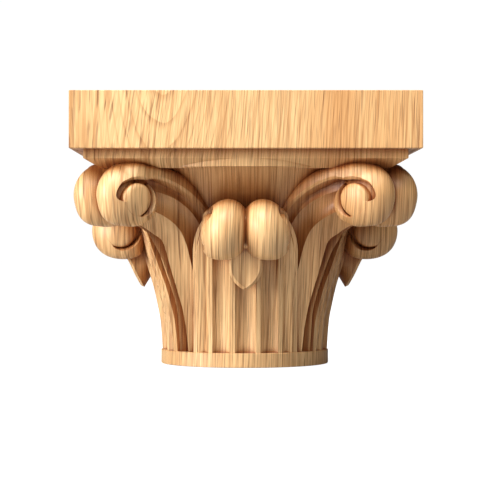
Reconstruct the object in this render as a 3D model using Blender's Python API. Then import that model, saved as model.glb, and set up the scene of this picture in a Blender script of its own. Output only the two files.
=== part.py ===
"""Carved oak pilaster capital, cut flat at the back where it meets the wall.

Lengths are in millimetres and become metres in one place. The capital is worked out around the
bell's axis, which lies in the wall plane: rho is the distance out from that axis in a leaf's own
upright plane, t the distance along the leaf's width, z the height above the foot. A leaf's
azimuth is counted from the front, positive towards +X.
"""

import math

import bmesh
import bpy
import numpy as np

MM = 0.001

# Top block, its fillet and the sloping underside
ABACUS_HALF = 100.0
ABACUS_DEPTH = 100.0
ABACUS_Z = 127.5
TOP_Z = 160.3
FILLET_INSET = 7.5
FILLET_Z = 122.3
SLOPE_INSET = 9.4
SLOPE_Z = 117.1

# Bell, lip and foot ring
LIP_RADIUS = 92.4
LIP_Z = 117.7
BELL_FOOT_RADIUS = 50.0
BELL_TOP_RADIUS = 92.0
BELL_FLARE_Z = 60.0
RING_RADIUS = 51.8
RING_HEIGHT = 8.7
ROUND_STEPS = 48
# Shares of the flare's height at which the bell has a ring of points, closer towards the lip
FLARE_SHARES = (0.35, 0.55, 0.7, 0.8, 0.88, 0.94, 0.98)
# How far a body runs into the one that carries it, and past the wall plane before the flat cut
BURY = 2.0
BACK_REACH = 4.0

# Middle leaves: outline, flutes and the rise of their face, as heights and radii
LEAF_HALF = 31.0
ARCH_Z = 68.5
ARCH_HEIGHT = 38.0
LEAF_THICK = 9.0
LEAF_BACK_SHARE = 0.9
LEAF_HEIGHTS = (6.0, 18.0, 30.0, 42.0, 53.0, 63.0, 68.5, 76.0, 83.0, 89.0, 94.0)
LEAF_FACE = ((5.0, 51.0), (26.0, 52.5), (36.0, 54.3), (48.6, 57.2), (62.3, 61.5), (73.0, 64.6),
             (94.0, 68.5))
FLUTES = ((-28.7, -22.0), (-19.6, -9.0), (-6.3, 6.3), (9.0, 19.6), (22.0, 28.7))
FLUTE_DEPTH_RATIO = 0.2
FLUTE_STEPS = 4

# Corner leaves: ridge line beside the middle groove, as heights and rho
CREST = ((4.0, 50.2), (20.0, 53.3), (32.2, 56.5), (44.2, 59.6), (57.0, 63.9), (68.7, 69.8), (76.0, 74.5),
         (81.0, 81.5), (84.8, 90.0), (87.0, 97.0), (88.0, 103.0))
CREST_STATIONS = 15
GROOVE_HALF = 4.3
# Lines that run along the leaf: width and depth behind the ridge, at the foot and at the scroll
LEAF_LINES = ((9.5, 5.5, 14.5, 7.6), (13.0, 9.5, 20.3, 15.6), (15.0, 13.0, 23.3, 22.0),
              (15.5, 17.0, 23.3, 31.0))
CHANNEL_SAG = 1.5
CHANNEL_SQUEEZE = 0.9
# The leaf narrows by this share over its last stretch, where it dives between the scroll's lobes
SCROLL_NARROWING = 0.2
NARROWING_START = 0.85

# Scrolls: rho and z of the centre, offset and half widths of each of its two lobes, how far the
# lobes lean towards each other at the top, and how much fuller they are low down at each side
CORNER_SCROLL = {"rho": 106.9, "z": 101.8, "t": 10.1, "out": 19.3, "up": 18.3, "wide": 13.9, "lean": 0.0,
                 "full": 0.07}
MIDDLE_SCROLL = {"rho": 74.9, "z": 81.9, "t": 12.8, "out": 19.1, "up": 18.7, "wide": 13.4, "lean": 2.8,
                 "full": 0.03}
LEAN_POWER = 1.5
LOBE_RINGS = 11
LOBE_SIDES = 22
LOBE_POLE = 86.0
# Spiral cut on a lobe's side: eye centre from the lobe's centre, eye radius, start and end angles
CORNER_EYE = {"out": 1.2, "up": -3.4, "radius": 9.7, "start": 0.0, "end": 260.0}
MIDDLE_EYE = {"out": 5.2, "up": 3.0, "radius": 9.7, "start": 48.0, "end": 292.0}
EYE_CUT_WIDTH = 4.2
EYE_CUT_DEPTH = 3.0
EYE_CUT_STATIONS = 13
# The cut opens over a ninth of its run, dies away over the last third, and is pinched to half its
# width at one place
EYE_OPENING = 9.0
EYE_FADING = 3.0
EYE_THINNEST = 0.04
EYE_PINCH = {"at": 0.27, "over": 0.08, "share": 0.5}
# Where the wedge's bottom lies across its width, and how far the wedge clears the lobe
EYE_STEEP_SHARE = 0.25
EYE_CLEAR = 0.2
EYE_TOP = 6.0
# Beyond this share of the lobe's reach the cut keeps the height that the lobe has there
EYE_REACH = 0.97

# Drop leaf under a middle scroll: height, rho of its front edges, half width
DROP = ((68.0, 74.5, 8.3), (61.0, 70.9, 8.3), (56.0, 67.9, 6.9), (52.0, 66.2, 4.3), (48.4, 64.6, 0.6))
DROP_VALLEY = 2.4
DROP_BACK_RHO = 57.0
DROP_UNDERCUT = 8.0
DROP_FLARE = 1.25

MIDDLE_AZIMUTHS = (-90.0, 0.0, 90.0)
CORNER_AZIMUTHS = (-45.0, 45.0)
WALL_Y = ABACUS_DEPTH / 2.0


def clear_scene():
    """Remove what the scene holds."""
    for obj in list(bpy.data.objects):
        bpy.data.objects.remove(obj, do_unlink=True)


def oak_material():
    """Waxed light oak."""
    material = bpy.data.materials.new("oak")
    material.use_nodes = True
    shader = material.node_tree.nodes["Principled BSDF"]
    shader.inputs["Base Color"].default_value = (0.58, 0.34, 0.16, 1.0)
    shader.inputs["Roughness"].default_value = 0.5
    shader.inputs["Metallic"].default_value = 0.0
    return material


def smooth_line(knots, heights):
    """Radii at the heights, on a smooth monotone cubic through (height, radius) knots."""
    knot_z, knot_r = np.array(knots, dtype=float).T
    step = np.diff(knot_z)
    slope = np.diff(knot_r) / step
    tangent = np.empty_like(knot_z)
    tangent[0] = slope[0]
    tangent[-1] = slope[-1]
    tangent[1:-1] = 2.0 * slope[:-1] * slope[1:] / (slope[:-1] + slope[1:])
    i = np.clip(np.searchsorted(knot_z, heights, side="right") - 1, 0, len(step) - 1)
    u = (heights - knot_z[i]) / step[i]
    return ((2 * u ** 3 - 3 * u ** 2 + 1) * knot_r[i] + (u ** 3 - 2 * u ** 2 + u) * step[i] * tangent[i]
            + (3 * u ** 2 - 2 * u ** 3) * knot_r[i + 1] + (u ** 3 - u ** 2) * step[i] * tangent[i + 1])


def place(rho, t, z, azimuth):
    """World points in metres of a leaf's own rho, t and z."""
    angle = math.radians(azimuth)
    rho, t, z = np.broadcast_arrays(rho, t, z)
    x = rho * math.sin(angle) + t * math.cos(angle)
    y = WALL_Y - rho * math.cos(angle) + t * math.sin(angle)
    return np.stack([x, y, z], axis=-1) * MM


def guide(name, vertices, faces):
    """A closed shape that only feeds the Boolean, in flat faces turned outwards."""
    mesh = bpy.data.meshes.new(name)
    mesh.from_pydata([tuple(v) for v in np.asarray(vertices, dtype=float).reshape(-1, 3)], [], faces)
    bm = bmesh.new()
    bm.from_mesh(mesh)
    bmesh.ops.triangulate(bm, faces=bm.faces)
    bmesh.ops.recalc_face_normals(bm, faces=bm.faces)
    bm.to_mesh(mesh)
    bm.free()
    obj = bpy.data.objects.new(name, mesh)
    obj.hide_render = True
    obj.display_type = "WIRE"
    return obj


def tube_shape(name, loops):
    """A closed shape through equal closed loops of points, with flat ends."""
    loops = np.asarray(loops)
    count, sides = loops.shape[:2]
    faces = []
    for low in range(0, (count - 1) * sides, sides):
        for a in range(sides):
            b = (a + 1) % sides
            faces.append((low + a, low + b, low + sides + b, low + sides + a))
    faces.append(tuple(range(sides)))
    faces.append(tuple(range((count - 1) * sides, count * sides)))
    return guide(name, loops, faces)


def box_shape(name, low, high):
    """A box between two corners in millimetres, y measured from the wall plane."""
    rectangle = [(low[0], low[1]), (high[0], low[1]), (high[0], high[1]), (low[0], high[1])]
    loops = [[(x * MM, (WALL_Y + y) * MM, z * MM) for x, y in rectangle] for z in (low[2], high[2])]
    return tube_shape(name, loops)


def underside_shape():
    """The fillet's sloping underside: a rectangle that shrinks by the same inset on three sides."""
    loops = []
    lower_inset = FILLET_INSET + SLOPE_INSET
    for inset, z in ((FILLET_INSET, FILLET_Z + BURY), (FILLET_INSET, FILLET_Z), (lower_inset, SLOPE_Z)):
        half = ABACUS_HALF - inset
        front = WALL_Y - (ABACUS_DEPTH - inset)
        back = WALL_Y + BACK_REACH
        rectangle = ((-half, front), (half, front), (half, back), (-half, back))
        loops.append([(x * MM, y * MM, z * MM) for x, y in rectangle])
    return tube_shape("underside", loops)


def turned_shape(name, profile, steps=ROUND_STEPS):
    """A full turned body about the bell's axis from (radius, height) pairs, bottom first."""
    turn = np.linspace(-180.0, 180.0, steps, endpoint=False) + 90.0 / steps
    angle = np.radians(turn)
    loops = [np.stack([r * np.sin(angle), WALL_Y - r * np.cos(angle), np.full_like(angle, z)], axis=-1) * MM
             for r, z in profile]
    return tube_shape(name, loops)


def bell_profile():
    """Straight foot, then a quarter ellipse that flares out to the lip."""
    profile = [(BELL_FOOT_RADIUS, RING_HEIGHT - BURY), (BELL_FOOT_RADIUS, BELL_FLARE_Z)]
    for share in FLARE_SHARES:
        flare = 1.0 - math.sqrt(1.0 - share ** 2)
        z = BELL_FLARE_Z + share * (LIP_Z + BURY - BELL_FLARE_Z)
        profile.append((BELL_FOOT_RADIUS + flare * (BELL_TOP_RADIUS - BELL_FOOT_RADIUS), z))
    return profile


def flute_depth(t):
    """How far the face is hollowed at t: a circular hollow in each flute, none on the strips between."""
    depth = np.zeros_like(t)
    for low, high in FLUTES:
        share = np.clip((2.0 * t - low - high) / (high - low), -1.0, 1.0)
        depth += FLUTE_DEPTH_RATIO * (high - low) * (1.0 - share ** 2)
    return depth


def middle_leaf(name, azimuth):
    """Fluted leaf: its face is a cylinder about the axis that leans out, under an arched outline."""
    edges = [-LEAF_HALF]
    for low, high in FLUTES:
        edges.extend(np.linspace(low, high, FLUTE_STEPS + 1))
    edges.append(LEAF_HALF)
    edges = np.array(edges)
    loops = []
    for z, face in zip(LEAF_HEIGHTS, smooth_line(LEAF_FACE, np.array(LEAF_HEIGHTS))):
        lift = max(0.0, (z - ARCH_Z) / ARCH_HEIGHT)
        t = edges * math.sqrt(1.0 - lift ** 2)
        rho = np.sqrt(face ** 2 - t ** 2) - flute_depth(edges)
        front = place(rho, t, z, azimuth)
        back = place(rho[[-1, 0]] - LEAF_THICK, t[[-1, 0]] * LEAF_BACK_SHARE, z, azimuth)
        loops.append(np.concatenate([front, back]))
    return tube_shape(name, loops)


def corner_leaf(name, azimuth):
    """Keel-shaped leaf: at each station along its ridge a section square to the ridge, from the
    middle groove over the two crests and along hollow channels to the upright rims."""
    knot_z, knot_rho = np.array(CREST).T
    run = np.concatenate([[0.0], np.cumsum(np.hypot(np.diff(knot_z), np.diff(knot_rho)))])
    along = np.linspace(0.0, run[-1], CREST_STATIONS)
    rho = smooth_line(tuple(zip(run, knot_rho)), along)
    z = smooth_line(tuple(zip(run, knot_z)), along)
    slope = np.arctan2(np.gradient(rho), np.gradient(z))
    loops = []
    for i in range(CREST_STATIONS):
        share = along[i] / along[-1]
        grow = share * share * (3.0 - 2.0 * share)
        narrow = 1.0 - SCROLL_NARROWING * max(0.0, (share - NARROWING_START) / (1.0 - NARROWING_START))
        half = [(0.0, GROOVE_HALF), (GROOVE_HALF, 0.0)]
        for foot_t, foot_d, top_t, top_d in LEAF_LINES:
            end = (narrow * (foot_t + grow * (top_t - foot_t)), foot_d + grow * (top_d - foot_d))
            start = half[-1]
            if foot_t != LEAF_LINES[-1][0]:
                middle_t = (start[0] + end[0]) / 2.0 - CHANNEL_SQUEEZE
                middle_d = (start[1] + end[1]) / 2.0 + CHANNEL_SAG
                half.append((middle_t, middle_d))
            half.append(end)
        section = np.array(half[:1] + half[1:] + [(-a, b) for a, b in reversed(half[1:])])
        t, depth = section.T
        behind = rho[i] - depth * math.cos(slope[i])
        above = z[i] + depth * math.sin(slope[i])
        loops.append(place(behind, t, above, azimuth))
    return tube_shape(name, loops)


def lobe(name, scroll, azimuth, side):
    """One of a scroll's two lobes: an ellipsoid with its poles along the leaf's width."""
    angle = np.linspace(0.0, math.tau, LOBE_SIDES, endpoint=False)
    fuller = 1.0 + scroll["full"] * np.where(np.sin(angle) < 0.0, np.sin(2.0 * angle) ** 2, 0.0)
    loops = []
    for tilt in np.radians(np.linspace(-LOBE_POLE, LOBE_POLE, LOBE_RINGS)):
        ring = math.cos(tilt) * fuller
        lift = ring * np.sin(angle)
        loops.append(place(scroll["rho"] + scroll["out"] * ring * np.cos(angle),
                           side * (scroll["t"] - lobe_lean(scroll, lift) + scroll["wide"] * math.sin(tilt)),
                           scroll["z"] + scroll["up"] * lift, azimuth))
    return tube_shape(name, loops)


def lobe_lean(scroll, lift):
    """How far the lobe's middle has moved in at a height, counted in half heights from its centre."""
    return scroll["lean"] * np.maximum(lift, 0.0) ** LEAN_POWER


def lobe_height(scroll, out, up):
    """The lobe's t at a point of its side, measured from the lobe's centre."""
    reach = np.minimum((out / scroll["out"]) ** 2 + (up / scroll["up"]) ** 2, 1.0)
    return scroll["t"] - lobe_lean(scroll, up / scroll["up"]) + scroll["wide"] * np.sqrt(1.0 - reach)


def eye_cut(name, scroll, eye, azimuth, side):
    """Spiral groove round the eye: a wedge on a circular arc, blunt at its start, thin at its tail and
    pinched a quarter of the way along."""
    share = np.linspace(0.0, 1.0, EYE_CUT_STATIONS)
    angle = np.radians(eye["start"] + share * (eye["end"] - eye["start"]))
    pinch = 1.0 - EYE_PINCH["share"] * np.exp(-((share - EYE_PINCH["at"]) / EYE_PINCH["over"]) ** 2)
    taper = np.sqrt(np.clip(np.minimum(share * EYE_OPENING, (1.0 - share) * EYE_FADING), EYE_THINNEST, 1.0))
    width = EYE_CUT_WIDTH * pinch * taper
    depth = EYE_CUT_DEPTH * taper
    loops = []
    for i in range(EYE_CUT_STATIONS):
        radius = eye["radius"] + width[i] * np.array([0.0, EYE_STEEP_SHARE, 1.0, 1.0, 0.0])
        out = eye["out"] + radius * math.cos(angle[i])
        up = eye["up"] + radius * math.sin(angle[i])
        reach = np.hypot(out / scroll["out"], up / scroll["up"])
        inside = np.minimum(1.0, EYE_REACH / reach)
        height = lobe_height(scroll, out * inside, up * inside)
        t = height + np.array([EYE_CLEAR, -depth[i], EYE_CLEAR, EYE_TOP, EYE_TOP])
        loops.append(place(scroll["rho"] + out, side * t, scroll["z"] + up, azimuth))
    return tube_shape(name, loops)


def drop_leaf(name, azimuth):
    """Pointed leaf under a middle scroll: a valley down its face, and sides that flare back and up
    to the leaf behind it."""
    loops = []
    for z, rho, half in DROP:
        valley = DROP_VALLEY * half / DROP[0][2]
        t = half * np.array([-1.0, 0.0, 1.0, DROP_FLARE, -DROP_FLARE])
        depth = np.array([rho, rho - valley, rho, DROP_BACK_RHO, DROP_BACK_RHO])
        loops.append(place(depth, t, z + DROP_UNDERCUT * np.array([0.0, 0.0, 0.0, 1.0, 1.0]), azimuth))
    return tube_shape(name, loops)


def build_shapes():
    """Every body that the capital is the union of."""
    fillet_half = ABACUS_HALF - FILLET_INSET
    shapes = [
        box_shape("fillet", (-fillet_half, FILLET_INSET - ABACUS_DEPTH, FILLET_Z + BURY / 2.0),
                  (fillet_half, BACK_REACH, ABACUS_Z + BURY)),
        underside_shape(),
        turned_shape("lip", ((LIP_RADIUS, LIP_Z), (LIP_RADIUS, FILLET_Z + BURY))),
        turned_shape("bell", bell_profile()),
        turned_shape("ring", ((RING_RADIUS, 0.0), (RING_RADIUS, RING_HEIGHT))),
    ]
    for azimuth in MIDDLE_AZIMUTHS:
        tag = f"{int(azimuth) + 90:03d}"
        shapes.append(middle_leaf(f"middle_leaf_{tag}", azimuth))
        shapes.append(drop_leaf(f"drop_leaf_{tag}", azimuth))
        for side in (-1.0, 1.0):
            if azimuth * side <= 0.0:
                shapes.append(lobe(f"middle_lobe_{tag}_{int(side)}", MIDDLE_SCROLL, azimuth, side))
    for azimuth in CORNER_AZIMUTHS:
        tag = f"{int(azimuth) + 90:03d}"
        shapes.append(corner_leaf(f"corner_leaf_{tag}", azimuth))
        for side in (-1.0, 1.0):
            shapes.append(lobe(f"corner_lobe_{tag}_{int(side)}", CORNER_SCROLL, azimuth, side))
    return shapes


def build_cuts():
    """What is cut away: the spiral grooves, and everything behind the wall plane."""
    beyond = 2.0 * ABACUS_HALF
    cuts = [box_shape("wall_cut", (-beyond, 0.0, -beyond), (beyond, beyond, beyond))]
    for azimuth in MIDDLE_AZIMUTHS:
        for side in (-1.0, 1.0):
            if azimuth * side <= 0.0:
                name = f"middle_eye_{int(azimuth)}_{int(side)}"
                cuts.append(eye_cut(name, MIDDLE_SCROLL, MIDDLE_EYE, azimuth, side))
    for azimuth in CORNER_AZIMUTHS:
        for side in (-1.0, 1.0):
            name = f"corner_eye_{int(azimuth)}_{int(side)}"
            cuts.append(eye_cut(name, CORNER_SCROLL, CORNER_EYE, azimuth, side))
    return cuts


def collect(name, objects):
    """Put objects into a collection of their own."""
    group = bpy.data.collections.new(name)
    bpy.context.scene.collection.children.link(group)
    for obj in objects:
        group.objects.link(obj)
    return group


def build_capital():
    """The top block, joined with every carved body and cut flat at the wall."""
    block = box_shape("capital", (-ABACUS_HALF, -ABACUS_DEPTH, ABACUS_Z), (ABACUS_HALF, BACK_REACH, TOP_Z))
    block.hide_render = False
    block.display_type = "TEXTURED"
    block.data.materials.append(oak_material())
    bpy.context.scene.collection.objects.link(block)
    joined = block.modifiers.new("carved bodies", "BOOLEAN")
    joined.operation = "UNION"
    joined.operand_type = "COLLECTION"
    joined.collection = collect("bodies", build_shapes())
    joined.solver = "EXACT"
    cut = block.modifiers.new("cuts", "BOOLEAN")
    cut.operation = "DIFFERENCE"
    cut.operand_type = "COLLECTION"
    cut.collection = collect("cutters", build_cuts())
    cut.solver = "EXACT"
    return block


clear_scene()
build_capital()
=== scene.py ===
"""Carved oak pilaster capital: its carving as worked-out surfaces, its oak, and a plain studio.

Lengths in the carving functions are millimetres and become metres in place(). The carving is worked
out around the bell's axis, which lies in the wall plane: rho is the distance out from that axis in
a leaf's own upright plane, t the distance across the leaf, z the height above the foot. Each body
is a closed shell; the shells are fused into one solid and cut flat at the wall.
"""

import math

import bpy
import numpy as np
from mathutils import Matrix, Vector


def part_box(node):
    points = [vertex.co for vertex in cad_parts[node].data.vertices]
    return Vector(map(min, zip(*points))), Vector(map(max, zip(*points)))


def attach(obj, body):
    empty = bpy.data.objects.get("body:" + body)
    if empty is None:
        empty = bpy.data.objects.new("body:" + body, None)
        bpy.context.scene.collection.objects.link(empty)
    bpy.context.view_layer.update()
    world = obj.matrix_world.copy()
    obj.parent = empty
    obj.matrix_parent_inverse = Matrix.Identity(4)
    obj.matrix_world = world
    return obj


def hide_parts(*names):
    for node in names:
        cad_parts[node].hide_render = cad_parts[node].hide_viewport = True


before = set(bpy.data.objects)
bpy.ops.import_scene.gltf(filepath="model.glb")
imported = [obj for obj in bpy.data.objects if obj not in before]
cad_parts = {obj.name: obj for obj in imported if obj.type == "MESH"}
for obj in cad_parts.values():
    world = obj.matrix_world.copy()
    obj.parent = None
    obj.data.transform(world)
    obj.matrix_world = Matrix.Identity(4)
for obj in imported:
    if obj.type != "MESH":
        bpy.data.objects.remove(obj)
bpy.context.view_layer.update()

MM = 0.001
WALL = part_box("capital")[1].y / MM
ABACUS_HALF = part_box("capital")[1].x / MM
TOP_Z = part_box("capital")[1].z / MM
ABACUS_DEPTH = 2.0 * WALL

CORNER_AZIMUTHS = (-45.0, 45.0)
MIDDLE_AZIMUTHS = (-90.0, 0.0, 90.0)
WALL_CELLS = 80
SHARP_ANGLE = 28.0

# Block, fillet, underside, lip, bell and ring
ABACUS_Z = 127.5
FILLET_INSET = 7.5
FILLET_Z = 122.3
SLOPE_INSET = 9.4
SLOPE_Z = 117.1
LIP_RADIUS = 92.4
LIP_Z = 117.7
BELL_FOOT_RADIUS = 50.0
BELL_TOP_RADIUS = 91.0
BELL_FLARE_Z = 60.0
BELL_SWELL_Z = 52.0
BELL_SWELL_POWER = 2.4
BELL_SHARES = (0.55, 0.45)
BELL_WAIST = 7.0
BELL_WAIST_ENDS = (60.0, 88.0)
NEARLY_QUARTER_TURN = 0.495 * math.pi
RING_RADIUS = 51.8
RING_HEIGHT = 8.7
RING_FOOT_EASE = 0.3
RING_TOP_EASE = 0.5
BLOCK_EASE = 0.35
FILLET_EASE = 0.3
FILLET_LAP = 1.0
BURY = 2.0

# Ridge of a corner leaf as (z, rho), the half width between its two crests as (share of the ridge, t),
# and the lines outside the crests as (share, t, depth behind the ridge)
RIDGE = ((4.0, 50.6), (10.0, 51.6), (22.0, 53.1), (32.5, 54.9), (43.4, 58.6), (52.7, 62.3), (62.0, 66.4),
         (69.0, 69.7), (76.0, 74.3), (81.0, 81.5), (84.8, 90.0), (87.0, 97.0), (88.0, 103.0))
CREST_HALF = ((0.0, 3.6), (0.15, 3.2), (0.27, 2.5), (0.47, 2.1), (0.55, 2.5), (0.63, 3.3), (0.69, 4.2),
              (0.72, 3.8), (0.76, 1.9), (0.85, 1.6), (1.0, 1.6))
KEEL_GROOVE_RATIO = 2.1
OUTER_RIDGE = ((0.0, 9.5, 5.0), (0.5, 12.2, 7.6), (0.7, 13.2, 8.6), (0.82, 13.0, 8.2), (1.0, 9.5, 7.4))
MIDDLE_RIDGE = ((0.0, 13.5, 11.0), (0.5, 16.5, 17.0), (0.7, 18.2, 19.4), (0.8, 17.6, 19.4), (0.9, 14.8, 18.8),
                (1.0, 11.5, 17.0))
BEVEL_LINE = ((0.0, 14.6, 14.5), (0.5, 18.6, 21.5), (0.72, 20.4, 23.4), (0.9, 21.8, 24.0), (1.0, 22.6, 23.8))
BEVEL = 1.3
RIM_LINE = ((0.0, 16.4, 18.2), (0.5, 22.4, 27.4), (0.72, 24.8, 31.0), (0.86, 25.2, 33.0), (1.0, 24.2, 31.6))
# Hollows between those lines, from the groove outwards: sag at the foot, what it gains towards the
# scroll, the shares where that gain starts and ends, and the points across
LEAF_HOLLOWS = ((0.15, 0.0, 0.0, 1.0, 4), (0.9, 0.0, 0.0, 1.0, 12), (2.3, 1.2, 0.72, 0.95, 14),
                (1.2, 3.6, 0.7, 0.92, 8))
# How far the leaf's sides tuck in and run back behind the last line
LEAF_TUCKS = ((1.0, 2.0), (2.0, 5.0))

# Scrolls. rho, z and t: centre of a lobe; out, up and wide: its half widths; full: how much fuller it is
# low down. eye_out, eye_up and eye: place of the eye's centre in the lobe, and its radius. turn and
# span: where its groove starts and how far it goes round, and join: where the coil leaves the leaf, in
# degrees. roll: turn over which the coil becomes round; lean: how far two lobes lean together; root: t
# where the eye's body ends inside
CORNER = {"rho": 106.9, "z": 101.8, "t": 10.1, "out": 19.3, "up": 18.3, "wide": 13.9, "full": 0.07,
          "eye_out": 1.2, "eye_up": -3.4, "eye": 9.7, "turn": 0.0, "span": 262.0, "join": 112.0,
          "roll": 45.0, "lean": 0.0, "root": 2.0}
MIDDLE = {"rho": 74.9, "z": 81.8, "t": 11.7, "out": 19.1, "up": 17.7, "wide": 14.2, "full": 0.03,
          "eye_out": 1.2, "eye_up": -0.6, "eye": 9.7, "turn": 31.0, "span": 275.0, "join": 150.0,
          "roll": 36.0, "lean": 1.7, "root": 4.0}


# In half heights from a lobe's centre: where its lean stops growing, and where it fades out below
LEAN_ENDS = (-1.0, 1.2)
LEAN_FADES = (-2.2, -1.0)


def lean(scroll, z):
    """How much less t a lobe has at a height: the two lobes lean together towards their tops."""
    above = (z - scroll["z"]) / scroll["up"]
    return scroll["lean"] * np.clip(above, *LEAN_ENDS) * ramp(above, *LEAN_FADES)


def place(rho, t, z, azimuth):
    """World points in metres of a leaf's rho, t and z: the leaf plane turned about the bell's axis."""
    angle = math.radians(azimuth)
    rho, t, z = np.broadcast_arrays(rho, t, z)
    x = rho * math.sin(angle) + t * math.cos(angle)
    y = WALL - rho * math.cos(angle) + t * math.sin(angle)
    return np.stack([x, y, z], axis=-1) * MM


def smooth_line(knots, at):
    """Values on a monotone cubic through knots (position, value, value ...), one column each."""
    table = np.array(knots, dtype=float)
    columns = []
    for value in table[:, 1:].T:
        position = table[:, 0]
        step = np.diff(position)
        slope = np.diff(value) / step
        tangent = np.empty_like(value)
        tangent[0] = slope[0]
        tangent[-1] = slope[-1]
        same = slope[:-1] * slope[1:] > 0.0
        total = np.where(same, slope[:-1] + slope[1:], 1.0)
        tangent[1:-1] = np.where(same, 2.0 * slope[:-1] * slope[1:] / total, 0.0)
        i = np.clip(np.searchsorted(position, at, side="right") - 1, 0, len(step) - 1)
        u = (at - position[i]) / step[i]
        leaving = (u ** 3 - 2 * u ** 2 + u) * step[i] * tangent[i]
        arriving = (u ** 3 - u ** 2) * step[i] * tangent[i + 1]
        columns.append((2 * u ** 3 - 3 * u ** 2 + 1) * value[i] + leaving
                       + (3 * u ** 2 - 2 * u ** 3) * value[i + 1] + arriving)
    return columns[0] if len(columns) == 1 else columns


def ramp(value, start, end):
    """0 before start, 1 after end, and a smooth step between."""
    u = np.clip((value - start) / (end - start), 0.0, 1.0)
    return u * u * (3.0 - 2.0 * u)


def tube(loops):
    """A closed shell through equal closed loops, an array (loops, points, 3), with fans at both ends."""
    count, sides = loops.shape[:2]
    vertices = np.concatenate([loops.reshape(-1, 3), loops[[0, -1]].mean(axis=1)])
    a = np.arange(count - 1)[:, None] * sides + np.arange(sides)
    b = np.arange(count - 1)[:, None] * sides + (np.arange(sides) + 1) % sides
    first = np.stack([a, b, b + sides], axis=-1).reshape(-1, 3)
    second = np.stack([a, b + sides, a + sides], axis=-1).reshape(-1, 3)
    side = np.arange(sides)
    following = (side + 1) % sides
    start = np.stack([following, side, np.full(sides, count * sides)], axis=-1)
    last = (count - 1) * sides
    end = np.stack([last + side, last + following, np.full(sides, count * sides + 1)], axis=-1)
    return outward(vertices, np.concatenate([first, second, start, end]))


def outward(vertices, triangles):
    """The shell with its triangles wound so that the volume they enclose is positive."""
    p = vertices[triangles]
    volume = np.einsum("ij,ij->i", p[:, 0], np.cross(p[:, 1], p[:, 2])).sum()
    return vertices, (triangles if volume > 0.0 else triangles[:, ::-1])


def slab(half, depth, low, high, ease, reach=BURY):
    """A block against the wall, with its edges eased by a small chamfer."""
    loops = []
    for inset, z in ((ease, low), (0.0, low + ease), (0.0, high - ease), (ease, high)):
        side, front = half - inset, depth - inset
        corner = ((-side, reach), (-side, ease - front), (ease - side, -front), (side - ease, -front),
                  (side, ease - front), (side, reach))
        loops.append([(x, WALL + y, z) for x, y in corner])
    return tube(np.array(loops) * MM)


def underside():
    """Sloping underside of the fillet: its rectangle shrinks by the same inset on three sides."""
    foot_inset = FILLET_INSET + SLOPE_INSET
    levels = ((FILLET_INSET, FILLET_Z + BURY), (FILLET_INSET, FILLET_Z), (foot_inset, SLOPE_Z))
    loops = []
    for inset, z in levels:
        side, front = ABACUS_HALF - inset, ABACUS_DEPTH - inset
        corners = ((-side, BURY), (-side, -front), (side, -front), (side, BURY))
        loops.append([(x, WALL + y, z) for x, y in corners])
    return tube(np.array(loops) * MM)


def turned(profile, steps=240):
    """A body turned about the bell's axis from (radius, z) pairs, bottom first."""
    angle = np.linspace(0.0, math.tau, steps, endpoint=False)
    radius, z = np.array(profile, dtype=float).T[:, :, None]
    x, y, z = np.broadcast_arrays(radius * np.sin(angle), WALL - radius * np.cos(angle), z)
    return tube(np.stack([x, y, z], axis=-1) * MM)


def bell():
    """Straight foot, then a flare out to the lip. The radius grows by two shares of the way out: a
    quarter ellipse, 1 - sqrt(1 - s^2) at the share s of its height, and the height above BELL_SWELL_Z
    raised to a power. Below the flare a waist keeps the bell behind the leaves."""
    share = np.sin(np.linspace(0.0, NEARLY_QUARTER_TURN, 40))
    z = BELL_FLARE_Z + share * (LIP_Z + BURY - BELL_FLARE_Z)
    ellipse = 1.0 - np.sqrt(1.0 - share ** 2)
    swell = np.clip((z - BELL_SWELL_Z) / (LIP_Z - BELL_SWELL_Z), 0.0, 1.0) ** BELL_SWELL_POWER
    flare = BELL_SHARES[0] * ellipse + BELL_SHARES[1] * swell
    waist = BELL_WAIST * (1.0 - ramp(z, *BELL_WAIST_ENDS))
    radius = BELL_FOOT_RADIUS + flare * (BELL_TOP_RADIUS - BELL_FOOT_RADIUS) - waist
    return turned([(BELL_FOOT_RADIUS - BELL_WAIST, RING_HEIGHT - BURY)] + list(zip(radius, z)))


def ridge_frame(share):
    """Ridge point (rho, z) at each share of its length, and the slope of the ridge out from upright."""
    z, rho = np.array(RIDGE).T
    run = np.concatenate([[0.0], np.cumsum(np.hypot(np.diff(z), np.diff(rho)))])
    rho_at, z_at = smooth_line(np.column_stack([run / run[-1], rho, z]), share)
    slope = np.arctan2(np.gradient(rho_at, share), np.gradient(z_at, share))
    return rho_at, z_at, slope


def hollow(start, end, sag, count):
    """Points of a hollow between two lines across the leaf: the chord, pushed into the leaf by a
    parabola of height sag; start and end are (t, depth) for every station."""
    u = np.linspace(0.0, 1.0, count + 1)[1:-1, None]
    chord_t, chord_d = end[0] - start[0], end[1] - start[1]
    length = np.hypot(chord_t, chord_d)
    push = 4.0 * sag * u * (1.0 - u)
    return start[0] + u * chord_t - push * chord_d / length, start[1] + u * chord_d + push * chord_t / length


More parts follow.
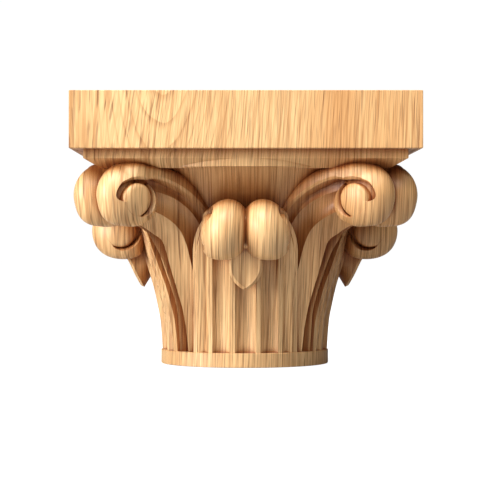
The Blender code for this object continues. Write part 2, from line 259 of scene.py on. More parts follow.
def corner_leaf(azimuth, stations=90):
    """Keeled leaf: at each station a section square to the ridge, from the middle groove over a sharp
    crest and two further ridges with hollows between them, mirrored about the leaf's plane."""
    share = np.linspace(0.0, 1.0, stations)
    rho, z, slope = ridge_frame(share)
    crest = smooth_line(CREST_HALF, share)
    zero = np.zeros(stations)
    lines = [(zero, KEEL_GROOVE_RATIO * crest), (crest, zero)]
    lines += [smooth_line(line, share) for line in (OUTER_RIDGE, MIDDLE_RIDGE, BEVEL_LINE)]
    t, depth = [lines[0][0][None]], [lines[0][1][None]]
    for start, end, (sag, gain, low, high, count) in zip(lines[:-1], lines[1:], LEAF_HOLLOWS):
        middle_t, middle_d = hollow(start, end, sag + gain * ramp(share, low, high), count)
        t += [middle_t, end[0][None]]
        depth += [middle_d, end[1][None]]
    for tuck, back in LEAF_TUCKS:
        t.append(lines[-1][0][None] - tuck)
        depth.append(lines[-1][1][None] + back)
    t, depth = np.concatenate(t), np.concatenate(depth)
    t = np.concatenate([t, -t[:0:-1]]).T
    depth = np.concatenate([depth, depth[:0:-1]]).T
    rho = rho[:, None] - depth * np.cos(slope)[:, None]
    z = z[:, None] + depth * np.sin(slope)[:, None]
    return tube(place(rho, t, z, azimuth))


def reach(scroll, rho, z):
    """How far a point of the leaf plane lies out from a lobe's centre, counted in its half widths."""
    return np.hypot((rho - scroll["rho"]) / scroll["out"], (z - scroll["z"]) / scroll["up"])


def outline_reach(scroll, angle):
    """Reach of a lobe's outline at an angle: one, a little fuller low down at each side."""
    return 1.0 + scroll["full"] * np.where(np.sin(angle) < 0.0, np.sin(2.0 * angle) ** 2, 0.0)


def lobe_face(scroll, rho, z):
    """t of the lobe's plain ellipsoid over a point of the leaf plane."""
    q = np.clip(reach(scroll, rho, z), 0.0, 1.0)
    return scroll["t"] + scroll["wide"] * np.sqrt(1.0 - q ** 2)


def from_eye(scroll, radius, angle):
    """(rho, z) at a distance from the eye's centre, at an angle in the leaf's plane."""
    return np.stack([scroll["rho"] + scroll["eye_out"] + radius * np.cos(angle),
                     scroll["z"] + scroll["eye_up"] + radius * np.sin(angle)])


def outline_from_eye(scroll, angle, shrink):
    """Point where a ray from the eye's centre meets the lobe's outline, shrunk about its centre."""
    dx, dz = np.cos(angle), np.sin(angle)
    a = (dx / scroll["out"]) ** 2 + (dz / scroll["up"]) ** 2
    b = scroll["eye_out"] * dx / scroll["out"] ** 2 + scroll["eye_up"] * dz / scroll["up"] ** 2
    c = (scroll["eye_out"] / scroll["out"]) ** 2 + (scroll["eye_up"] / scroll["up"]) ** 2
    size = shrink * outline_reach(scroll, angle)
    radius = (-b + np.sqrt(b * b - a * (c - size ** 2))) / a
    return from_eye(scroll, radius, angle)


# Spiral groove round an eye: angle back from the blunt end at 0, over the top, down the stem side to
# the tail; how far its outer edge is beyond the eye, its depth, and the chamfer on its outer edge
GROOVE = ((-8.0, -0.8, 0.0, 0.1), (-4.0, 1.2, 0.9, 0.2), (0.0, 3.0, 2.8, 0.3), (5.0, 4.1, 4.4, 0.3),
          (12.0, 4.7, 5.4, 0.4), (25.0, 4.9, 5.4, 0.5), (39.0, 4.9, 4.8, 0.9), (64.0, 4.0, 4.0, 1.6),
          (93.0, 3.8, 3.8, 1.6), (112.0, 4.2, 4.0, 1.4), (140.0, 3.4, 4.0, 0.9), (170.0, 3.3, 3.0, 0.5),
          (200.0, 3.0, 2.4, 0.4), (225.0, 2.0, 1.6, 0.3), (245.0, 0.9, 0.8, 0.2), (262.0, -0.8, 0.0, 0.1))


def groove(scroll, degrees):
    """Width beyond the eye's edge, depth and chamfer of the spiral groove at an angle in degrees."""
    angle = ((degrees - scroll["turn"] + 60.0) % 360.0 - 60.0) * GROOVE[-1][0] / scroll["span"]
    return smooth_line(GROOVE, np.clip(angle, GROOVE[0][0], GROOVE[-1][0]))


# Eye: groove depths between which it opens, where its face starts to ease over and over what share, by
# how much, how round; how steep its wall is, how far it tucks under the coil, and its hidden inside
EYE_OPENS = (0.1, 1.2)
EYE_EASE_FROM, EYE_EASE_WIDTH = 0.72, 0.28
EYE_EASE_DEPTH = 1.5
EYE_EASE_ROUND = 0.96
EYE_WALL_SLOPE = 0.25
EYE_TUCK_OUT, EYE_TUCK_DEPTH = 1.5, 0.35
EYE_INSIDE_SHARE = 0.6


def eye(scroll, azimuth, side, rays=120):
    """Dome inside the spiral groove: the lobe's face, eased over at its edge, then a steep wall down
    to the groove's floor; where there is no groove it slips just under the coil's face."""
    degrees = np.linspace(0.0, 360.0, rays, endpoint=False)[:, None]
    angle = np.radians(degrees)
    _, depth, _ = groove(scroll, degrees)
    open_share = ramp(depth, *EYE_OPENS)
    shut_share = 1.0 - open_share
    share = np.concatenate([np.linspace(0.06, 0.8, 12), np.linspace(0.84, 1.0, 8)])[None, :]
    radius = scroll["eye"] * share
    rho, z = from_eye(scroll, radius, angle)
    edge = np.clip((share - EYE_EASE_FROM) / EYE_EASE_WIDTH, 0.0, 1.0)
    eased = 1.0 - np.sqrt(1.0 - EYE_EASE_ROUND * edge ** 2)
    t = lobe_face(scroll, rho, z) - open_share * EYE_EASE_DEPTH * eased
    wall_radius = scroll["eye"] + open_share * EYE_WALL_SLOPE + shut_share * EYE_TUCK_OUT
    wall_rho, wall_z = from_eye(scroll, wall_radius, angle)
    wall_depth = open_share * (depth + EYE_EASE_DEPTH)
    wall_t = lobe_face(scroll, wall_rho, wall_z) - wall_depth - shut_share * EYE_TUCK_DEPTH
    deep_rho, deep_z = from_eye(scroll, EYE_INSIDE_SHARE * wall_radius, angle)
    rho = np.concatenate([rho, wall_rho, deep_rho], axis=1)
    z = np.concatenate([z, wall_z, deep_z], axis=1)
    t = np.concatenate([t, wall_t, np.full_like(wall_t, scroll["root"])], axis=1) - lean(scroll, z)
    return tube(place(rho, side * t, z, azimuth).transpose(1, 0, 2))


# How much less a lobe's core measures round its rim and across, in its inner and its outer half
CORE_RIM = (1.0, 3.5)
CORE_ACROSS = (0.3, 4.4)


def core(scroll, azimuth, side):
    """Heart of a lobe, which is the floor of its deepest cuts: a smaller ellipsoid."""
    angle = np.linspace(0.0, math.tau, 48, endpoint=False)
    tilt = np.radians(np.linspace(-88.0, 88.0, 25))[:, None]
    inner = tilt < 0.0
    smaller = np.where(inner, *CORE_RIM)
    rho = scroll["rho"] + (scroll["out"] - smaller) * np.cos(tilt) * np.cos(angle)
    z = scroll["z"] + (scroll["up"] - smaller) * np.cos(tilt) * np.sin(angle)
    t = scroll["t"] + (scroll["wide"] - np.where(inner, *CORE_ACROSS)) * np.sin(tilt) - lean(scroll, z)
    return tube(place(rho, side * t, z, azimuth))


# Coil, in degrees wound from where it leaves the leaf: how far it goes, in two stretches with their
# stations, and where its outline shrinks behind the end and by what share
COIL_STRETCHES = ((0.0, 100.0, 46), (100.0, 338.0, 80))
COIL_SHRINK, COIL_SHRINKS = 0.42, (270.0, 352.0)
# Power of its section: round, what it adds where flat, where it starts to round, and its last stretch
ROUND_POWER, FLAT_POWER, ROLL_START = 2.0, 6.0, -10.0
TAIL_POWER, TAIL_ENDS = 0.9, (200.0, 285.0)
# The groove's floor: share of its width out from the eye, and the least steps from chamfer to floor
FLOOR_SHARE, FLOOR_STEP, FLOOR_STEP_AT_STEM, STEM_ENDS_AT = 0.4, 0.3, 0.4, 45.0
STEM_WALL, FLOOR_UNDER_CHAMFER = 1.0, 0.2
# Share of the half width at which the hidden back of the section stops drawing in
BACK_LIMIT = 0.93


def coil(scroll, stem, azimuth, side):
    """Rim band that rises along the leaf, rolls over the scroll and winds in round the eye.

    stem gives the stations along the leaf as columns: inner point (rho, z), outer point (rho, z), the
    face's t at the outer point, how much less it is at the inner one, and the inner edge's chamfer. On
    the scroll both points lie on rays from the eye's centre: the inner one on the groove's outer edge,
    the outer one on the lobe's outline. Across the band the section is a superellipse,
    t = half * (1 - q^power)^(1/power) at reach q, whose power falls from a flat face on the leaf to
    two, a round one, on the scroll."""
    first, second = COIL_STRETCHES
    degrees = scroll["join"] - np.concatenate([np.linspace(*first)[:-1], np.linspace(*second)])
    angle = np.radians(degrees)
    width, depth, chamfer = groove(scroll, degrees)
    wound = scroll["join"] - degrees
    shrink = 1.0 - COIL_SHRINK * ramp(wound, *COIL_SHRINKS)
    inner_radius = scroll["eye"] + width
    inner = from_eye(scroll, inner_radius, angle)
    outer = outline_from_eye(scroll, angle, shrink)
    floor_radius = np.minimum(scroll["eye"] + FLOOR_SHARE * width, inner_radius - chamfer - FLOOR_STEP)
    floor_radius = np.where(wound < STEM_ENDS_AT, inner_radius - chamfer - FLOOR_STEP_AT_STEM, floor_radius)
    edge = from_eye(scroll, inner_radius - chamfer, angle)
    floor = from_eye(scroll, floor_radius, angle)
    flat_part = FLAT_POWER * (1.0 - ramp(wound, ROLL_START, scroll["roll"]))
    power = ROUND_POWER + flat_part + TAIL_POWER * ramp(wound, *TAIL_ENDS)
    edge_reach = outline_reach(scroll, angle) * shrink
    ring_q = reach(scroll, inner[0], inner[1]) / edge_reach
    centre = np.array([[scroll["rho"]], [scroll["z"]]]) + np.zeros_like(inner)
    half = np.full_like(angle, scroll["wide"])

    stem_in, stem_out, stem_t, cant = stem[:2], stem[2:4], stem[4], stem[5]
    length = np.hypot(*(stem_out - stem_in))
    stem_centre = stem_out + (stem_in - stem_out) / length * scroll["out"]
    stem_q = 1.0 - length / scroll["out"]
    toward = (stem_in - stem_out) / length
    stem_chamfer = stem[6]
    stem_edge = stem_in + toward * stem_chamfer
    stem_floor = stem_in + toward * (stem_chamfer + FLOOR_STEP)

    inner = np.concatenate([stem_in, inner], axis=1)[:, :, None]
    outer = np.concatenate([stem_out, outer], axis=1)[:, :, None]
    floor = np.concatenate([stem_floor, floor], axis=1)[:, :, None]
    edge = np.concatenate([stem_edge, edge], axis=1)[:, :, None]
    chamfer = np.concatenate([stem_chamfer, chamfer])[:, None]
    centre = np.concatenate([stem_centre, centre], axis=1)[:, :, None]
    first_q = np.concatenate([stem_q, ring_q])[:, None]
    half = np.concatenate([stem_t - scroll["t"], half])[:, None]
    power = np.concatenate([np.full(len(stem_t), power[0]), power])[:, None]
    depth = np.concatenate([stem_chamfer + STEM_WALL, depth])[:, None]

    across = np.sin(np.linspace(0.0, 0.5 * math.pi, 17))[None, :]
    q = first_q + (1.0 - first_q) * across
    face_t = scroll["t"] + half * (1.0 - np.clip(q, 0.0, 1.0) ** power) ** (1.0 / power)
    cant = np.concatenate([cant, np.zeros_like(angle)])[:, None]
    face_t = face_t + cant * (across - 1.0)
    face = inner + (outer - inner) * across[None]
    back = np.linspace(0.0, 1.0, 12)[None, 1:] * (scroll["t"] + 1.0) / half
    back_q = (1.0 - np.clip(back, 0.0, BACK_LIMIT) ** power) ** (1.0 / power)
    behind = centre + (outer - centre) * back_q[None]
    back_t = scroll["t"] - half * back
    floor_t = face_t[:, :1] - np.maximum(depth, chamfer + FLOOR_UNDER_CHAMFER)
    edge_t = face_t[:, :1] - chamfer
    rho = np.concatenate([floor[0], edge[0], face[0], behind[0], floor[0]], axis=1)
    z = np.concatenate([floor[1], edge[1], face[1], behind[1], floor[1]], axis=1)
    past_middle = np.full_like(floor_t, -1.0)
    t = np.concatenate([floor_t, edge_t, face_t, back_t, past_middle], axis=1) - lean(scroll, z)
    return tube(place(rho, side * t, z, azimuth))


def corner_stem(stations=70):
    """Rim band of a corner leaf, from the foot to where the coil takes over."""
    share = np.linspace(0.0, 1.0, stations + 1)
    rho, z, slope = ridge_frame(share)
    _, bevel_d = smooth_line(BEVEL_LINE, share)
    rim_t, rim_d = smooth_line(RIM_LINE, share)
    inner_d = bevel_d + BEVEL
    stem = np.stack([rho - inner_d * np.cos(slope), z + inner_d * np.sin(slope),
                     rho - rim_d * np.cos(slope), z + rim_d * np.sin(slope), rim_t, np.zeros_like(share),
                     np.full_like(share, BEVEL)])
    return stem[:, :-2]


# Middle leaf: radius of its face as (z, radius), half width, arch, and its flutes as (low t, high t)
LEAF_FACE = ((5.0, 51.0), (26.0, 52.5), (36.0, 54.3), (48.6, 57.2), (62.3, 61.5), (73.0, 64.6), (94.0, 68.5))
LEAF_HALF = 31.0
LEAF_FOOT_Z, LEAF_TOP_Z = 6.0, 94.0
LEAF_THICK = 9.0
LEAF_BACK_SHARE = 0.9
ARCH_Z = 68.5
ARCH_HEIGHT = 33.0
FLUTE_DEPTH = 1.3
FLUTES = ((-28.7, -22.0), (-19.6, -9.0), (-6.3, 6.3), (9.0, 19.6), (22.0, 28.7))


def leaf_face(t, z):
    """rho of a middle leaf's face before its flutes are cut: sqrt(radius^2 - t^2), a body turned about
    the axis that leans out towards its top."""
    radius = smooth_line(LEAF_FACE, z)
    return np.sqrt(radius ** 2 - t ** 2)


def arch(z):
    """Share of the full width that a middle leaf keeps at a height, under its round arch."""
    return np.sqrt(1.0 - np.clip((z - ARCH_Z) / ARCH_HEIGHT, 0.0, 1.0) ** 2)


def middle_leaf(azimuth):
    """Fluted leaf: hollows between sharp arrises, FLUTE_DEPTH * width * u * (1 - u) deep at the share u
    of a flute's width, under an arched outline."""
    t, depth = [np.array([-LEAF_HALF])], [np.zeros(1)]
    for low, high in FLUTES:
        u = np.linspace(0.0, 1.0, 13)
        t.append(low + (high - low) * u)
        depth.append((high - low) * FLUTE_DEPTH * u * (1.0 - u))
    t = np.concatenate(t + [np.array([LEAF_HALF])])[None, :]
    depth = np.concatenate(depth + [np.zeros(1)])[None, :]
    z = np.linspace(LEAF_FOOT_Z, LEAF_TOP_Z, 48)[:, None]
    t = t * arch(z)
    rho = leaf_face(t, z) - depth
    rho = np.concatenate([rho, rho[:, [-1, 0]] - LEAF_THICK], axis=1)
    t = np.concatenate([t, t[:, [-1, 0]] * LEAF_BACK_SHARE], axis=1)
    return tube(place(rho, t, z, azimuth))


# Edge strip of a middle leaf: front edge (rho, z), back edge (rho, z), t of the back edge, how much
# less t the front edge has, and the chamfer inside the front edge
STRIP = ((42.4, 6.0, 37.0, 6.0, 30.8, 2.3, 0.2), (45.4, 28.0, 39.3, 28.0, 30.8, 2.3, 0.2),
         (50.6, 50.0, 44.5, 50.0, 30.9, 2.3, 0.2), (55.9, 65.0, 49.4, 66.2, 30.4, 2.0, 0.3),
         (59.0, 76.5, 52.2, 80.4, 28.3, 1.4, 0.5), (61.8, 83.4, 55.6, 88.0, 26.6, 0.6, 0.8))
LAST_CHAMFER = 1.2


def middle_stem(stations=60):
    """Edge strip of a middle leaf, from the foot up to where its coil takes over."""
    join = np.radians([MIDDLE["join"]])
    width, _, _ = groove(MIDDLE, np.array([MIDDLE["join"]]))
    last_in = from_eye(MIDDLE, MIDDLE["eye"] + width, join)[:, 0]
    last_out = outline_from_eye(MIDDLE, join, 1.0)[:, 0]
    last = (*last_in, *last_out, MIDDLE["t"] + MIDDLE["wide"], 0.0, LAST_CHAMFER)
    points = np.array(STRIP + (last,))
    run = np.concatenate([[0.0], np.cumsum(np.hypot(*np.diff(points[:, 2:4], axis=0).T))])
    at = np.linspace(0.0, run[-1], stations + 1)
    return np.stack(smooth_line(np.column_stack([run, points]), at))[:, :-1]


# Drop leaf: its face as (z, rho), its widest part and where it starts to narrow, the roundness of its
# point, the valley down its face and the bevel round it
DROP_FACE = ((47.8, 64.6), (51.0, 66.2), (54.5, 67.9), (61.0, 70.9), (70.0, 75.5), (84.0, 80.0))
DROP_TIP_Z, DROP_TOP_Z, DROP_NARROWS_Z = 47.8, 84.0, 61.0
DROP_POINT_LENGTH = 13.2
DROP_HALF = 8.3
DROP_TIP_HALF = 0.12
DROP_ROUND, DROP_POINT = 2.2, 0.9
DROP_VALLEY, DROP_VALLEY_POWER = 2.4, 1.3
DROP_BEVEL, DROP_BEVEL_DEPTH, DROP_BEVEL_FALL = 1.3, 2.2, 1.0
DROP_BACK_RHO = 57.0
DROP_BACK_RISE = 8.0


def drop_leaf(azimuth):
    """Pointed leaf under a middle scroll: a valley down its face, an outline that rounds to a point, a
    bevel round its edge, and sides that run back and up to the flutes behind."""
    z = np.linspace(DROP_TOP_Z, DROP_TIP_Z, 38)[:, None]
    to_tip = np.clip((DROP_NARROWS_Z - z) / DROP_POINT_LENGTH, 0.0, 1.0)
    half = DROP_HALF * (1.0 - to_tip ** DROP_ROUND) ** DROP_POINT + DROP_TIP_HALF
    rho = smooth_line(DROP_FACE, z)
    across = np.linspace(-1.0, 1.0, 15)[None, :]
    valley = DROP_VALLEY * half / DROP_HALF * (1.0 - np.abs(across) ** DROP_VALLEY_POWER)
    edge, back = rho - DROP_BEVEL_DEPTH, np.full_like(half, DROP_BACK_RHO)
    t = np.concatenate([half * across, half + DROP_BEVEL, half, -half, -half - DROP_BEVEL], axis=1)
    rho = np.concatenate([rho - valley, edge, back, back, edge], axis=1)
    lower, upper = z - DROP_BEVEL_FALL, z + DROP_BACK_RISE
    z = np.concatenate([z + 0.0 * across, lower, upper, upper, lower], axis=1)
    return tube(place(rho, t, z, azimuth))


def carving():
    """Every shell of the capital. Of a side leaf's two lobes only the one in front of the wall is made."""
    shells = [
        slab(ABACUS_HALF, ABACUS_DEPTH, ABACUS_Z, TOP_Z, BLOCK_EASE),
        slab(ABACUS_HALF - FILLET_INSET, ABACUS_DEPTH - FILLET_INSET, FILLET_Z + FILLET_LAP,
             ABACUS_Z + BURY, FILLET_EASE),
        underside(),
        turned([(LIP_RADIUS, LIP_Z), (LIP_RADIUS, FILLET_Z + BURY)]),
        bell(),
        turned([(RING_RADIUS - RING_FOOT_EASE, 0.0), (RING_RADIUS, RING_FOOT_EASE),
                (RING_RADIUS, RING_HEIGHT - RING_TOP_EASE), (RING_RADIUS - RING_TOP_EASE, RING_HEIGHT)]),
    ]
    stem = corner_stem()
    for azimuth in CORNER_AZIMUTHS:
        shells.append(corner_leaf(azimuth))
        for side in (-1.0, 1.0):
            shells += [coil(CORNER, stem, azimuth, side), eye(CORNER, azimuth, side),
                       core(CORNER, azimuth, side)]
    stem = middle_stem()
    for azimuth in MIDDLE_AZIMUTHS:
        shells += [middle_leaf(azimuth), drop_leaf(azimuth)]
        for side in (-1.0, 1.0):
            in_front_of_wall = azimuth * side <= 0.0
            if in_front_of_wall:
                shells += [coil(MIDDLE, stem, azimuth, side), eye(MIDDLE, azimuth, side),
                           core(MIDDLE, azimuth, side)]
    return shells


def mesh_object(name, vertices, triangles):
    """A mesh object from whole arrays of points and triangles."""
    mesh = bpy.data.meshes.new(name)
    mesh.from_pydata(vertices, [], triangles.tolist())
    return bpy.data.objects.new(name, mesh)


def wall_block():
    """A block behind the wall plane, in cells a few millimetres wide, so that the flat back that it cuts
    is made of small plain faces."""
    reach_out = 1.2 * ABACUS_HALF
    across = np.linspace(-reach_out, reach_out, WALL_CELLS + 1)
    outline = [(x, WALL) for x in across] + [(reach_out, WALL + reach_out), (-reach_out, WALL + reach_out)]
    levels = np.linspace(TOP_Z / 2.0 - reach_out, TOP_Z / 2.0 + reach_out, WALL_CELLS + 1)
    return tube(np.array([[(x, y, z) for x, y in outline] for z in levels]) * MM)


def fuse(name, shells):
    """One solid: the union of the shells, cut off flat at the wall plane. Curves are shaded smooth.
    Edges sharper than SHARP_ANGLE and faces square to an axis are shaded flat."""
    group = bpy.data.collections.new("shells")
    bpy.context.scene.collection.children.link(group)
    parts = [mesh_object(f"shell_{i}", *shell) for i, shell in enumerate(shells)]
    piece = parts[0]
    bpy.context.scene.collection.objects.link(piece)
    for part in parts[1:]:
        group.objects.link(part)
    cutter = mesh_object("wall_cut", *wall_block())
    bpy.context.scene.collection.objects.link(cutter)
    joined = piece.modifiers.new("union", "BOOLEAN")
    joined.operation, joined.operand_type, joined.collection = "UNION", "COLLECTION", group
    joined.solver = "MANIFOLD"
    cut = piece.modifiers.new("flat back", "BOOLEAN")
    cut.operation, cut.object, cut.solver = "DIFFERENCE", cutter, "MANIFOLD"
    graph = bpy.context.evaluated_depsgraph_get()
    mesh = bpy.data.meshes.new_from_object(piece.evaluated_get(graph))
    fused = bpy.data.objects.new(name, mesh)
    mesh.name = name
    bpy.context.scene.collection.objects.link(fused)
    for part in parts + [cutter]:
        bpy.data.objects.remove(part)
    bpy.data.collections.remove(group)
    mesh.shade_smooth()
    mesh.set_sharp_from_angle(angle=math.radians(SHARP_ANGLE))
    normals = np.empty(3 * len(mesh.polygons), dtype=np.float32)
    mesh.polygons.foreach_get("normal", normals)
    square_to_axes = np.abs(normals.reshape(-1, 3)).max(axis=1) > 0.99999
    mesh.polygons.foreach_set("use_smooth", ~square_to_axes)
    return fused


def linear(code):
    """Linear RGBA of an sRGB hex code."""
    channels = [int(code[i:i + 2], 16) / 255.0 for i in (1, 3, 5)]
    return tuple(c / 12.92 if c <= 0.04045 else ((c + 0.055) / 1.055) ** 2.4 for c in channels) + (1.0,)


def add_node(tree, kind, settings=None, **inputs):
    """A node with its settings and its inputs. An input is named, or i and its number, and gets a value
    or a socket to link from."""
    node = tree.nodes.new(kind)
    for key, value in (settings or {}).items():
        setattr(node, key, value)
    for key, value in inputs.items():
        numbered = key[0] == "i" and key[1:].isdigit()
        socket = node.inputs[int(key[1:]) if numbered else key.replace("_", " ")]
        if isinstance(value, bpy.types.NodeSocket):
            tree.links.new(value, socket)
        else:
            socket.default_value = value
    return node


# Growth rings, in metres: the pith line's place, its tilt over the height, the height that the tilt is
# counted from and how far under it the pith stops coming forward, the share of depth that the pattern
# follows, the width of a ring, and the place of the dark band right of the middle
PITH_X, PITH_AWAY = -0.050, 0.024
PITH_TILT_X, PITH_TILT_AWAY = 0.06, -0.16
PITH_HEIGHT = 0.14
PITH_STRAIGHT = -0.02
DEPTH_SHARE = 0.1
RING = 0.0032
DARK_BAND_X = 0.054
DARK_BAND_CORE, DARK_BAND_EDGE = 0.003, 0.015

# How far round a point the painted shade looks for hollows and for tight corners, in metres, and the dark
# brown tint that it multiplies the tone by there
HOLLOW_REACH = 0.035
CREASE_REACH = 0.009
PAINTED_SHADE_TINT = (0.60, 0.38, 0.21, 1.0)

# Noise scales count features in a metre of oak, and stretches say how much longer than wide one is
BAND_SCALE, BAND_STRETCH = 24.0, 9.0
STREAK_SCALE, STREAK_STRETCH = 1150.0, 62.0
FIBRE_SCALE, FIBRE_STRETCH = 2400.0, 60.0
PORE_SCALE, PORE_STRETCH = 1900.0, 50.0


def waxed_oak():
    """Light oak, plane and gouge cut with the grain upright, thin satin wax.

    The pith leans, so the rings are upright lines at the sides of the front and tall arches left of the
    middle. Each ring starts with a darker, porous part. Streaks, fibres and pores are noise drawn out
    along the grain, and pores are densest in that part. Painted shade multiplies the tone by a dark
    brown tint where ambient occlusion finds that the piece shades itself. The eye gets warm, dashed
    wood with hollows browned by that painted shade, and a soft sheen, which the pores break up a little."""
    material = bpy.data.materials.new("waxed_oak")
    material.use_nodes = True
    tree = material.node_tree
    shader = tree.nodes["Principled BSDF"]
    shader.inputs["IOR"].default_value = 1.5
    place_in = add_node(tree, "ShaderNodeTexCoord").outputs["Object"]

    def noise(vector, scale, stretch, detail=2.0, shift=0.0):
        """Noise drawn out along the grain."""
        squeezed = add_node(tree, "ShaderNodeMapping", i0=vector, i1=(shift, shift, shift),
                            i3=(1.0, DEPTH_SHARE, 1.0 / stretch))
        return add_node(tree, "ShaderNodeTexNoise", Vector=squeezed.outputs[0], Scale=scale, Detail=detail,
                        Roughness=0.55).outputs["Fac"]

    def maths(operation, first, second=0.0, third=0.0):
        """Sum, product or other result of up to three values."""
        return add_node(tree, "ShaderNodeMath", {"operation": operation}, i0=first, i1=second,
                        i2=third).outputs[0]

    def between(value, low, high, out_low=0.0, out_high=1.0):
        """Smooth step from out_low to out_high as the value goes from low to high."""
        return add_node(tree, "ShaderNodeMapRange", {"interpolation_type": "SMOOTHSTEP"}, i0=value, i1=low,
                        i2=high, i3=out_low, i4=out_high).outputs[0]

    def blend(share, first, second, kind="MIX"):
        """Colour that goes from the first to the second by a share."""
        node = add_node(tree, "ShaderNodeMix", {"data_type": "RGBA", "blend_type": kind})
        for socket, value in ((node.inputs[0], share), (node.inputs[6], first), (node.inputs[7], second)):
            if isinstance(value, bpy.types.NodeSocket):
                tree.links.new(value, socket)
            else:
                socket.default_value = value
        return node.outputs[2]

    # The flat sides of the block face along X, so there the rings are counted across the depth
    normal = add_node(tree, "ShaderNodeNewGeometry").outputs["Normal"]
    facing = add_node(tree, "ShaderNodeSeparateXYZ", Vector=normal)
    sideways = between(maths("ABSOLUTE", facing.outputs["X"]), 0.86, 0.96)

    # Rings: distance from the leaning pith, bent a little by slow noise, counted in ring widths
    axes = add_node(tree, "ShaderNodeSeparateXYZ", Vector=place_in).outputs
    bend = maths("MULTIPLY_ADD", noise(place_in, 40.0, 3.0, 2.0), 0.004, -0.002)
    drift = maths("MULTIPLY_ADD", noise(place_in, 11.0, 2.5, 1.0, 3.7), 0.016, -0.008)
    height = maths("SUBTRACT", axes["Z"], PITH_HEIGHT)
    across = add_node(tree, "ShaderNodeMix", {"data_type": "FLOAT"}, i0=sideways, i2=axes["X"],
                      i3=axes["Y"]).outputs[0]
    along_x = maths("ADD", maths("MULTIPLY_ADD", height, -PITH_TILT_X, -PITH_X), across)
    rise = maths("MAXIMUM", height, PITH_STRAIGHT)
    pith_y = maths("MULTIPLY_ADD", rise, PITH_TILT_AWAY, PITH_AWAY)
    along_y = maths("MULTIPLY_ADD", axes["Y"], -DEPTH_SHARE, pith_y)
    squared = maths("MULTIPLY_ADD", along_x, along_x, maths("MULTIPLY", along_y, along_y))
    radius = maths("ADD", maths("ADD", maths("SQRT", squared), bend), drift)
    ring = maths("FRACT", maths("DIVIDE", radius, RING))
    early = maths("MULTIPLY", between(ring, 0.0, 0.35, 1.0, 0.0), between(ring, 0.0, 0.05))

    # The grain: streaks follow part of the distance from the pith, so they lean with the rings
    leaning = maths("MULTIPLY_ADD", across, 0.65, maths("MULTIPLY", radius, 0.45))
    grain = add_node(tree, "ShaderNodeCombineXYZ", X=leaning, Y=across, Z=axes["Z"]).outputs[0]

    # Tone: broad bands of darker and lighter wood, ring lines, streaks, fibres and pores
    band = between(noise(grain, BAND_SCALE, BAND_STRETCH, 2.0, 1.3), 0.40, 0.64)
    tone = blend(band, linear("#f1c78e"), linear("#e7b67c"))
    off_band = maths("ABSOLUTE", maths("SUBTRACT", axes["X"], DARK_BAND_X))
    tone = blend(between(off_band, DARK_BAND_CORE, DARK_BAND_EDGE, 0.45, 0.0), tone, linear("#c98a4e"))
    tone = blend(maths("MULTIPLY", early, 0.42), tone, linear("#aa6f3a"))
    streak = between(noise(grain, STREAK_SCALE, STREAK_STRETCH, 2.0, 2.2), 0.46, 0.64)
    tone = blend(maths("MULTIPLY", streak, 0.56), tone, linear("#ad7440"))
    fibre = between(noise(grain, FIBRE_SCALE, FIBRE_STRETCH, 2.0), 0.38, 0.62)
    tone = blend(maths("MULTIPLY", fibre, 0.34), tone, linear("#b87c44"))
    pore = between(noise(grain, PORE_SCALE, PORE_STRETCH, 1.0, 5.1), 0.54, 0.66)
    dense = maths("MULTIPLY_ADD", early, 0.30, 0.50)
    pores = maths("MULTIPLY", pore, dense)
    tone = blend(pores, tone, linear("#7d4f27"))

    # Painted shade: where ambient occlusion finds hollows and, darkest, tight inner corners, the tone is
    # multiplied by a dark brown tint
    for distance, low, high, share in ((HOLLOW_REACH, 0.46, 0.82, 0.85), (CREASE_REACH, 0.35, 0.80, 0.75)):
        open_sky = add_node(tree, "ShaderNodeAmbientOcclusion", {"samples": 8, "only_local": True},
                            Distance=distance).outputs["AO"]
        painted_shade = blend(1.0, tone, PAINTED_SHADE_TINT, "MULTIPLY")
        tone = blend(between(open_sky, low, high, share, 0.0), tone, painted_shade)
    tree.links.new(tone, shader.inputs["Base Color"])
    rough = between(pores, 0.0, 0.6, 0.42, 0.62)
    tree.links.new(rough, shader.inputs["Roughness"])
    raised = maths("SUBTRACT", 1.0, pores)
    bump = add_node(tree, "ShaderNodeBump", Strength=0.35, Distance=0.0002, Height=raised)
    tree.links.new(bump.outputs[0], shader.inputs["Normal"])
    return material


# Studio: strength of the sky as light and as seen, and the lamps as (name, azimuth from the front,
# elevation, distance in metres, size in metres, watts)
AMBIENT = 0.02
SKY_SEEN = 1.02
LAMPS = (("side", -64.0, 7.0, 1.6, 1.0, 36.0), ("key", -42.0, 56.0, 1.6, 0.8, 26.0),
         ("right top", 56.0, 64.0, 1.6, 0.8, 8.0), ("front", 4.0, 44.0, 1.6, 0.8, 9.0))
LAMPS_AIM_Z = 0.08
WHITE = (1.0, 1.0, 1.0, 1.0)

# Floor: half its width, and how far it lies under the foot, in metres
FLOOR_HALF = 6.0
FLOOR_DROP = 0.0005

# Camera, level and square to the wall: its place in metres, its lens and sensor in mm, its side shift
CAMERA_PLACE = (-0.00729, -1.0086, 0.07286)
LENS, SENSOR = 124.9, 36.0
SIDE_SHIFT = 0.0245


def pale_floor_paint():
    """Matt pale grey paint that lights the piece only by what falls on it, and that the camera sees as
    white paper."""
    pale = bpy.data.materials.new("pale_floor")
    pale.use_nodes = True
    tree = pale.node_tree
    shader = tree.nodes["Principled BSDF"]
    shader.inputs["Roughness"].default_value = 0.9
    shader.inputs["Base Color"].default_value = linear("#a8a8a8")
    shader.inputs["Emission Color"].default_value = WHITE
    seen = add_node(tree, "ShaderNodeLightPath").outputs["Is Camera Ray"]
    tree.links.new(seen, shader.inputs["Emission Strength"])
    return pale


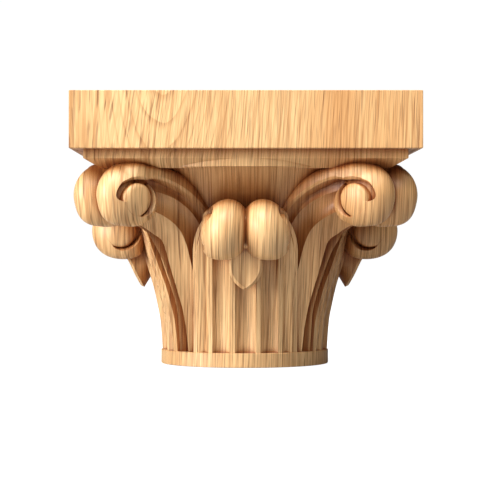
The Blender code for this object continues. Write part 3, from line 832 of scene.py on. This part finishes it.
def add_floor(scene):
    """Pale floor just under the foot."""
    corners = [(x * FLOOR_HALF, y * FLOOR_HALF, -FLOOR_DROP) for x, y in ((-1, -1), (1, -1), (1, 1), (-1, 1))]
    floor = mesh_object("floor", np.array(corners), np.array([(0, 1, 2), (0, 2, 3)]))
    scene.collection.objects.link(floor)
    floor.data.materials.append(pale_floor_paint())


def add_sky(scene):
    """White all round as the camera sees it, and hardly any light from it."""
    world = bpy.data.worlds.new("studio")
    world.use_nodes = True
    scene.world = world
    tree = world.node_tree
    back = tree.nodes["Background"]
    back.inputs["Color"].default_value = WHITE
    path = add_node(tree, "ShaderNodeLightPath")
    seen = add_node(tree, "ShaderNodeMapRange", i0=path.outputs["Is Camera Ray"], i3=AMBIENT, i4=SKY_SEEN)
    tree.links.new(seen.outputs["Result"], back.inputs["Strength"])


def add_lamps(scene):
    """Soft square lamps: two strong ones from the left, two weak ones from above."""
    for name, azimuth, elevation, distance, size, power in LAMPS:
        light = bpy.data.lights.new(name, "AREA")
        light.energy, light.size = power, size
        lamp = bpy.data.objects.new(name, light)
        scene.collection.objects.link(lamp)
        turn, rise = math.radians(azimuth), math.radians(elevation)
        away = Vector((math.sin(turn) * math.cos(rise), -math.cos(turn) * math.cos(rise), math.sin(rise)))
        lamp.location = Vector((0.0, 0.0, LAMPS_AIM_Z)) + away * distance
        lamp.rotation_euler = away.to_track_quat("Z", "Y").to_euler()


def add_camera(scene):
    """Long lens at the photo's angle, level and square to the wall."""
    camera = bpy.data.cameras.new("camera")
    camera.lens, camera.sensor_width, camera.shift_x = LENS, SENSOR, SIDE_SHIFT
    shot = bpy.data.objects.new("camera", camera)
    scene.collection.objects.link(shot)
    shot.location = CAMERA_PLACE
    shot.rotation_euler = (0.5 * math.pi, 0.0, 0.0)
    scene.camera = shot


def studio():
    """Floor, sky, lamps and camera."""
    scene = bpy.context.scene
    add_floor(scene)
    add_sky(scene)
    add_lamps(scene)
    add_camera(scene)
    scene.view_settings.view_transform = "Standard"


capital = fuse("oak_capital", carving())
capital.data.materials.clear()
capital.data.materials.append(waxed_oak())
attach(capital, "root")
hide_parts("capital")
studio()
